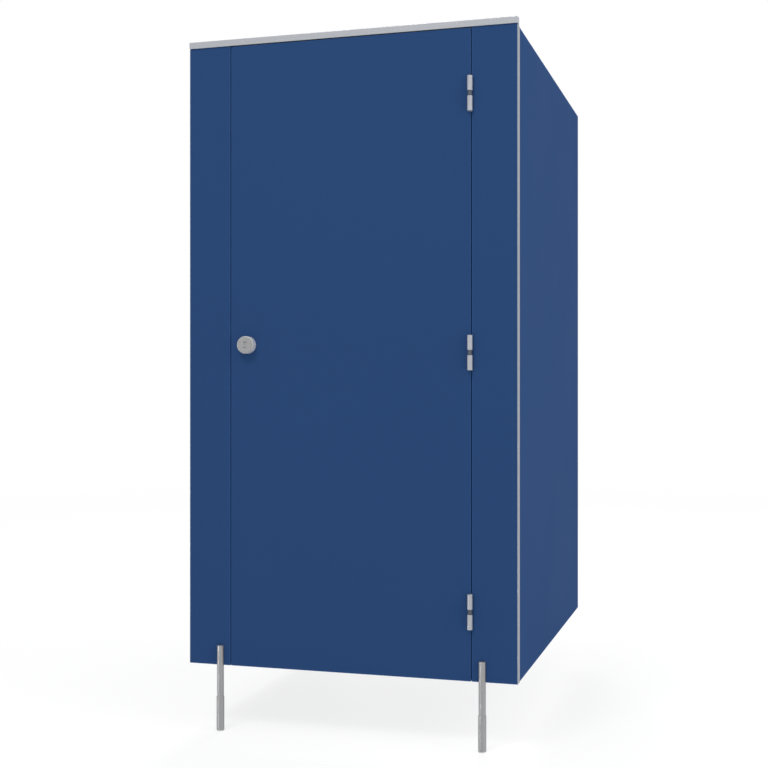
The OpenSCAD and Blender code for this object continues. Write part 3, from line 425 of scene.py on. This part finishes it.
def turned_steel(name, centre, across, face_radius, rim_radius):
    """Stainless steel with the rings of a lathe, a satin edge, a rim painted pale as a painted
    highlight on the knob's side wall, and marks from hands.
    """
    material, tree, shader = new_finish("turned_steel_" + name)
    edge_width = 0.0006
    rim_width = 0.0009
    turned = use(tree, TURNED_RINGS, Centre=centre, Across=across, Pitch=0.00035)
    marks = use(tree, HAND_MARKS, Place=centre, Reach=0.08)["Marks"]
    edge = ramp(tree, turned["Radius"], face_radius, face_radius + edge_width)
    rim = ramp(tree, turned["Radius"], rim_radius - rim_width, rim_radius)
    turns = use(tree, DRAWN_LINES, Stretch=ALONG_Z_AND_X)["Lines"]
    # Painted highlight: the side wall round the rim takes a much paler, less metallic copy of the
    # steel, so that it reads as the bright crescent of light on the knob.
    side = blend_colours(tree, turns, (0.54, 0.54, 0.555), (0.70, 0.70, 0.715))
    face = blend_colours(tree, turned["Rings"], (0.255, 0.255, 0.26), (0.330, 0.330, 0.335))
    tone = blend_colours(tree, rim, face, side)
    feed(tree, ramp(tree, rim, 0.0, 1.0, start=1.0, end=0.32), shader["Metallic"])
    roughness = vary(tree, turned["Rings"], 0.20, 0.32)
    roughness = add_share(tree, roughness, 0.22, edge)
    roughness = add_share(tree, roughness, 0.12, marks)
    dress(tree, shader, tone, roughness, turned["Rings"], raised=0.00002)
    return material


def formed_steel(name, drift_size, dark, light):
    """Cold-formed stainless steel, bright and a little uneven."""
    material, tree, shader = new_finish(name + "_steel", metallic=1.0)
    grain = use(tree, FINE_GRAIN, Grain_Size=0.0004, Drift_Size=drift_size)
    tone = blend_colours(tree, grain["Drift"], dark, light)
    roughness = vary(tree, grain["Drift"], 0.20, 0.30)
    dress(tree, shader, tone, roughness, grain["Grain"], raised=0.00001)
    return material


def blasted_metal(name, dark, light, rough):
    """Cast or extruded metal with a fine blasted face."""
    material, tree, shader = new_finish("blasted_" + name, metallic=0.4)
    grain = use(tree, FINE_GRAIN, Grain_Size=0.00025, Drift_Size=0.03)
    tone = blend_colours(tree, grain["Grain"], dark, light)
    roughness = vary(tree, grain["Drift"], rough, rough + 0.08)
    dress(tree, shader, tone, roughness, grain["Grain"], raised=0.00003)
    return material


def moulded(name, dark, light, rough, raised=0.00002):
    """Moulded plastic or rubber with a fine skin."""
    material, tree, shader = new_finish(name)
    grain = use(tree, FINE_GRAIN, Grain_Size=0.0003, Drift_Size=0.01)
    tone = blend_colours(tree, grain["Drift"], dark, light)
    roughness = vary(tree, grain["Grain"], rough, rough + 0.1)
    dress(tree, shader, tone, roughness, grain["Grain"], raised)
    return material


light_room()
hang_lamps()
lay_floor()
place_camera()
bpy.context.scene.view_settings.view_transform = "Standard"

SCREWS = formed_steel("screw", drift_size=0.004, dark=(0.42, 0.42, 0.43), light=(0.54, 0.54, 0.55))
POLISHED = formed_steel("polished", drift_size=0.05, dark=(0.46, 0.46, 0.47),
                        light=(0.52, 0.52, 0.53))
HINGE = blasted_metal("hinge", dark=(0.315, 0.326, 0.356), light=(0.378, 0.391, 0.422), rough=0.48)
LOCK_METAL = blasted_metal("lock", dark=(0.40, 0.41, 0.43), light=(0.52, 0.53, 0.55), rough=0.34)
KNOB = turned_steel("lock", LOCK, across=(1, 0, 1), face_radius=0.0224, rim_radius=0.0247)
LEG = brushed_steel("leg", ALONG_Z, dark=(0.275, 0.275, 0.281), light=(0.325, 0.325, 0.331))
# Painted shade: the uprights take a darker copy of the headrail's anodised aluminium, toned down for
# the bright side light that falls on the corner strips.
UPRIGHT_PAINTED_DARKER = anodised("upright", ALONG_Z, dark=(0.287, 0.301, 0.328), light=(0.316, 0.331, 0.360))
HEADRAIL = anodised("headrail", ALONG_X, dark=(0.365, 0.378, 0.402), light=(0.395, 0.410, 0.436))
NYLON = moulded("hinge_nylon", dark=(0.043, 0.053, 0.073), light=(0.056, 0.067, 0.090), rough=0.5)
RUBBER = moulded("rubber", dark=(0.012, 0.012, 0.013), light=(0.022, 0.022, 0.023), rough=0.75,
                 raised=0.00004)
PAD = moulded("pale_rubber", dark=(0.58, 0.58, 0.59), light=(0.64, 0.64, 0.65), rough=0.7,
              raised=0.00003)
SLATE = moulded("slate_plastic", dark=(0.26, 0.27, 0.31), light=(0.30, 0.31, 0.35), rough=0.4)
RED = moulded("red_plastic", dark=(0.42, 0.010, 0.012), light=(0.48, 0.014, 0.016), rough=0.3)

# The finish of each material slot, and of the nodes that differ from their slot
SLOT_FINISH = {
    "anodised": UPRIGHT_PAINTED_DARKER,
    "stainless": SCREWS,
    "hinge_metal": HINGE,
    "hinge_nylon": NYLON,
    "lock_metal": LOCK_METAL,
    "rubber": RUBBER,
    "indicator_slate": SLATE,
    "indicator_red": RED,
}
NODE_FINISH = {
    "headrail": HEADRAIL,
    "headrail_cap_left": HINGE,
    "headrail_cap_right": HINGE,
    "coat_hook": POLISHED,
    "lock_bolt": POLISHED,
    "lock_knob": KNOB,
    "thumb_turn": KNOB,
    "lock_spindle": KNOB,
    "leg_left": LEG,
    "leg_right": LEG,
    "foot_sleeve_left": LEG,
    "foot_sleeve_right": LEG,
    "foot_pad_left": PAD,
    "foot_pad_right": PAD,
}
for part in frame["record"]["subparts"]:
    node = part["node"]
    if part["material_slot"] == "laminate":
        material = laminate(node)
    else:
        material = NODE_FINISH.get(node, SLOT_FINISH[part["material_slot"]])
    for place in frame["nodes"][node].material_slots:
        place.material = material
